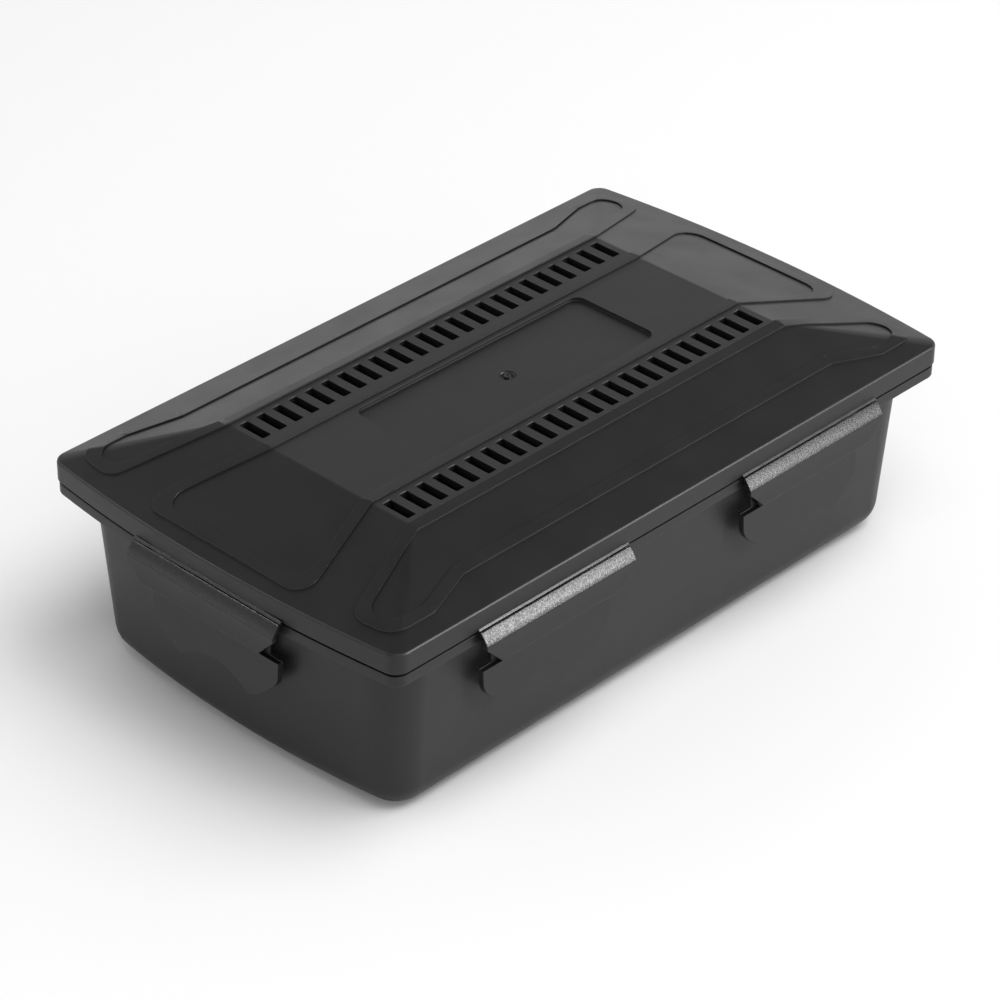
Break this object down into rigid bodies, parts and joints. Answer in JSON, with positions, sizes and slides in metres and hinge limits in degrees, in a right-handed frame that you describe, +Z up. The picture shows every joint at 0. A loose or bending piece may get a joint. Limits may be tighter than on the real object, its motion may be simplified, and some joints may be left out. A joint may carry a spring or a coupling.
{
  "type": "ventilated bait box",
  "caption": "Long low box with a vented, hipped lift-off lid, held by six hinged latches on all sides; holds bait.",
  "frame": {"origin": "on the floor, under the middle of the box", "axes": "+Z up, X along the box, -Y towards the front long side"},
  "size_m": [0.2056, 0.1238, 0.062],
  "materials": {
    "tub_plastic": "fine satin grain, moulded black polypropylene",
    "lid_plastic": "fine satin grain, moulded black polypropylene",
    "latch_plastic": "satin, with a glossier rolled grip",
    "hinge_plastic": "glossy thin moulded web"
  },
  "bodies": {
    "tub": {"tub": "tub_plastic"},
    "lid": {"lid": "lid_plastic", "hinge_web_front_left": "hinge_plastic", "hinge_web_front_right": "hinge_plastic", "hinge_web_back_left": "hinge_plastic", "hinge_web_back_right": "hinge_plastic", "hinge_web_left": "hinge_plastic", "hinge_web_right": "hinge_plastic"},
    "latch_front_left": {"latch_front_left": "latch_plastic"},
    "latch_front_right": {"latch_front_right": "latch_plastic"},
    "latch_back_left": {"latch_back_left": "latch_plastic"},
    "latch_back_right": {"latch_back_right": "latch_plastic"},
    "latch_left": {"latch_left": "latch_plastic"},
    "latch_right": {"latch_right": "latch_plastic"}
  },
  "joints": [
    {"name": "lid_lift", "type": "slide", "parent": "tub", "child": "lid", "axis": [0, 0, 1], "range_m": [0, 0.07]},
    {"name": "latch_front_left_hinge", "type": "hinge", "parent": "lid", "child": "latch_front_left", "pos_m": [-0.0454, -0.05905, 0.04875], "axis": [-1, 0, 0], "range_deg": [0, 110]},
    {"name": "latch_front_right_hinge", "type": "hinge", "parent": "lid", "child": "latch_front_right", "pos_m": [0.0454, -0.05905, 0.04875], "axis": [-1, 0, 0], "range_deg": [0, 110]},
    {"name": "latch_back_left_hinge", "type": "hinge", "parent": "lid", "child": "latch_back_left", "pos_m": [-0.0454, 0.05905, 0.04875], "axis": [1, 0, 0], "range_deg": [0, 110]},
    {"name": "latch_back_right_hinge", "type": "hinge", "parent": "lid", "child": "latch_back_right", "pos_m": [0.0454, 0.05905, 0.04875], "axis": [1, 0, 0], "range_deg": [0, 110]},
    {"name": "latch_left_hinge", "type": "hinge", "parent": "lid", "child": "latch_left", "pos_m": [-0.0999, 0, 0.04875], "axis": [0, 1, 0], "range_deg": [0, 110]},
    {"name": "latch_right_hinge", "type": "hinge", "parent": "lid", "child": "latch_right", "pos_m": [0.0999, 0, 0.04875], "axis": [0, -1, 0], "range_deg": [0, 110]}
  ]
}
